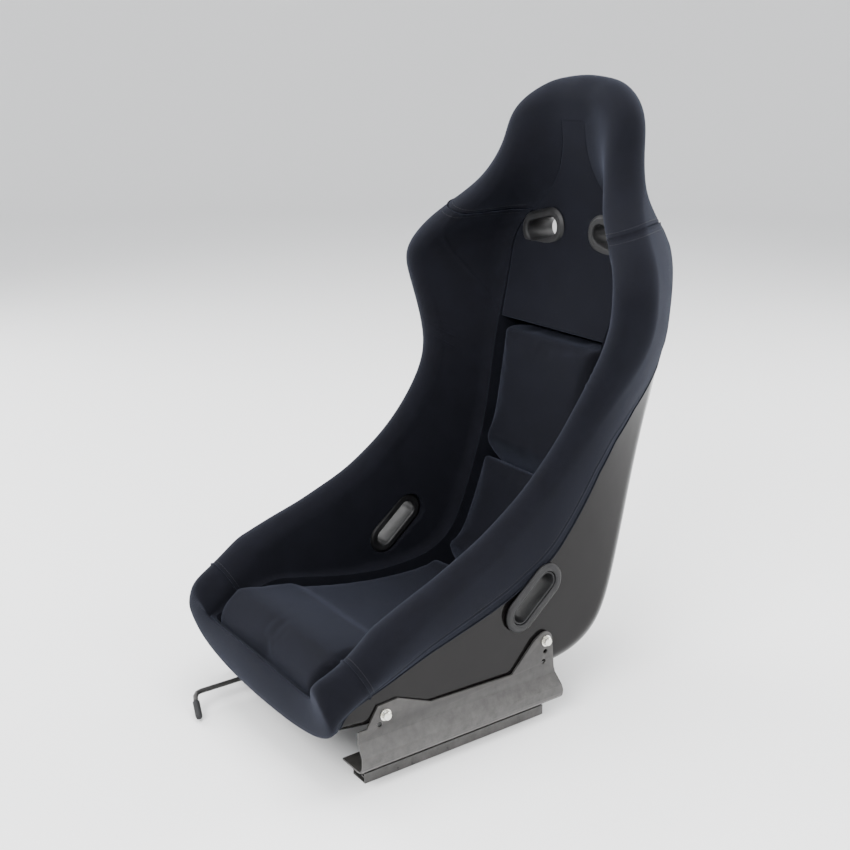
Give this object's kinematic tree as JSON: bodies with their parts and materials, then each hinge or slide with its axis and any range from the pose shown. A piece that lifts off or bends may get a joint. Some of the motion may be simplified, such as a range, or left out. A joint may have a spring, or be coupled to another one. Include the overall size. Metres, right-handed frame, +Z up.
{
  "type": "racing bucket seat",
  "caption": "Fixed-back racing bucket seat: glossy fibre shell, thick fabric-covered rim and pads, belt slots, folded side brackets, and slide rails with a release lever.",
  "frame": {"origin": "under the middle of the whole seat's box, on the floor that the rails stand on", "axes": "+Z up; the sitter faces -Y; +X is the sitter's left"},
  "size_m": [0.5766, 0.7167, 0.9497],
  "materials": {
    "shell_gelcoat": "high-gloss black gelcoat on glass fibre",
    "cover_fabric": "brushed near-black knit with a slight navy cast, over foam",
    "pad_fabric": "brushed near-black knit on loose pads",
    "ring_plastic": "moulded black, fine texture",
    "bracket_black": "satin black powder coat on folded steel",
    "rail_black": "black electrocoat on rolled steel",
    "zinc": "bright zinc plate",
    "steel": "plain steel, oiled",
    "grip_plastic": "soft black dip"
  },
  "bodies": {
    "rails_base": {"lower_rail_left": "rail_black", "lower_rail_right": "rail_black"},
    "seat": {"seat_shell": "shell_gelcoat", "bolster_left": "cover_fabric", "bolster_right": "cover_fabric", "front_roll": "cover_fabric", "head_pad": "cover_fabric", "upper_back_pad": "cover_fabric", "seat_cushion": "pad_fabric", "lower_back_pad": "pad_fabric", "lumbar_pad": "pad_fabric", "shoulder_ring_inner_left": "ring_plastic", "shoulder_ring_inner_right": "ring_plastic", "shoulder_ring_outer_left": "ring_plastic", "shoulder_ring_outer_right": "ring_plastic", "lap_ring_inner_left": "ring_plastic", "lap_ring_inner_right": "ring_plastic", "lap_ring_outer_left": "ring_plastic", "lap_ring_outer_right": "ring_plastic", "side_bracket_left": "bracket_black", "side_bracket_right": "bracket_black", "mount_bolt_left_front": "zinc", "mount_bolt_left_rear": "zinc", "mount_bolt_right_front": "zinc", "mount_bolt_right_rear": "zinc", "mount_washer_left_front": "zinc", "mount_washer_left_rear": "zinc", "mount_washer_right_front": "zinc", "mount_washer_right_rear": "zinc", "threaded_insert_left_front": "steel", "threaded_insert_left_rear": "steel", "threaded_insert_right_front": "steel", "threaded_insert_right_rear": "steel", "upper_rail_left": "rail_black", "upper_rail_right": "rail_black", "rail_bolt_left_front": "zinc", "rail_bolt_left_rear": "zinc", "rail_bolt_right_front": "zinc", "rail_bolt_right_rear": "zinc", "rail_spacer_left_front": "zinc", "rail_spacer_left_rear": "zinc", "rail_spacer_right_front": "zinc", "rail_spacer_right_rear": "zinc", "rod_hanger_left_front": "bracket_black", "rod_hanger_left_rear": "bracket_black", "rod_hanger_right_front": "bracket_black", "rod_hanger_right_rear": "bracket_black"},
    "left_cage": {"roller_cage_left": "grip_plastic"},
    "right_cage": {"roller_cage_right": "grip_plastic"},
    "left_front_roller": {"roller_left_front": "steel"},
    "left_rear_roller": {"roller_left_rear": "steel"},
    "right_front_roller": {"roller_right_front": "steel"},
    "right_rear_roller": {"roller_right_rear": "steel"},
    "release_lever": {"release_rod": "rail_black", "lever_grip": "grip_plastic", "latch_right": "steel"},
    "left_latch": {"slave_rod": "rail_black", "latch_left": "steel"},
    "release_link": {"link_wire": "steel"}
  },
  "joints": [
    {"name": "seat_slide", "type": "slide", "parent": "rails_base", "child": "seat", "axis": [0, 1, 0], "range_m": [-0.1, 0.1]},
    {"name": "left_cage_roll", "type": "slide", "parent": "rails_base", "child": "left_cage", "axis": [0, 1, 0], "range_m": [-0.055, 0.055]},
    {"name": "right_cage_roll", "type": "slide", "parent": "rails_base", "child": "right_cage", "axis": [0, 1, 0], "range_m": [-0.055, 0.055]},
    {"name": "left_front_roller_spin", "type": "hinge", "parent": "left_cage", "child": "left_front_roller", "pos_m": [0.178, -0.12213, 0.0051], "axis": [1, 0, 0], "range_deg": [-1120, 1120]},
    {"name": "left_rear_roller_spin", "type": "hinge", "parent": "left_cage", "child": "left_rear_roller", "pos_m": [0.178, -0.02213, 0.0051], "axis": [1, 0, 0], "range_deg": [-1120, 1120]},
    {"name": "right_front_roller_spin", "type": "hinge", "parent": "right_cage", "child": "right_front_roller", "pos_m": [-0.178, -0.12213, 0.0051], "axis": [1, 0, 0], "range_deg": [-1120, 1120]},
    {"name": "right_rear_roller_spin", "type": "hinge", "parent": "right_cage", "child": "right_rear_roller", "pos_m": [-0.178, -0.02213, 0.0051], "axis": [1, 0, 0], "range_deg": [-1120, 1120]},
    {"name": "release_turn", "type": "hinge", "parent": "seat", "child": "release_lever", "pos_m": [-0.132, -0.0521, 0.027], "axis": [0, -1, 0], "range_deg": [0, 25], "stiffness_Nm_per_rad": 0.8, "springref_deg": -20.05},
    {"name": "left_latch_turn", "type": "hinge", "parent": "seat", "child": "left_latch", "pos_m": [0.132, -0.0521, 0.027], "axis": [0, -1, 0], "range_deg": [0, 25.5]},
    {"name": "link_pull", "type": "slide", "parent": "seat", "child": "release_link", "axis": [-1, 0, 0], "range_m": [0, 0.0078]}
  ],
  "couplings": [
    {"joint": "left_cage_roll", "follows": "seat_slide", "ratio": 0.5},
    {"joint": "right_cage_roll", "follows": "seat_slide", "ratio": 0.5},
    {"joint": "left_front_roller_spin", "follows": "seat_slide", "rad_per_m": -192.31},
    {"joint": "left_rear_roller_spin", "follows": "seat_slide", "rad_per_m": -192.31},
    {"joint": "right_front_roller_spin", "follows": "seat_slide", "rad_per_m": -192.31},
    {"joint": "right_rear_roller_spin", "follows": "seat_slide", "rad_per_m": -192.31},
    {"joint": "left_latch_turn", "follows": "release_turn", "ratio": 1},
    {"joint": "link_pull", "follows": "release_turn", "m_per_rad": 0.017}
  ]
}
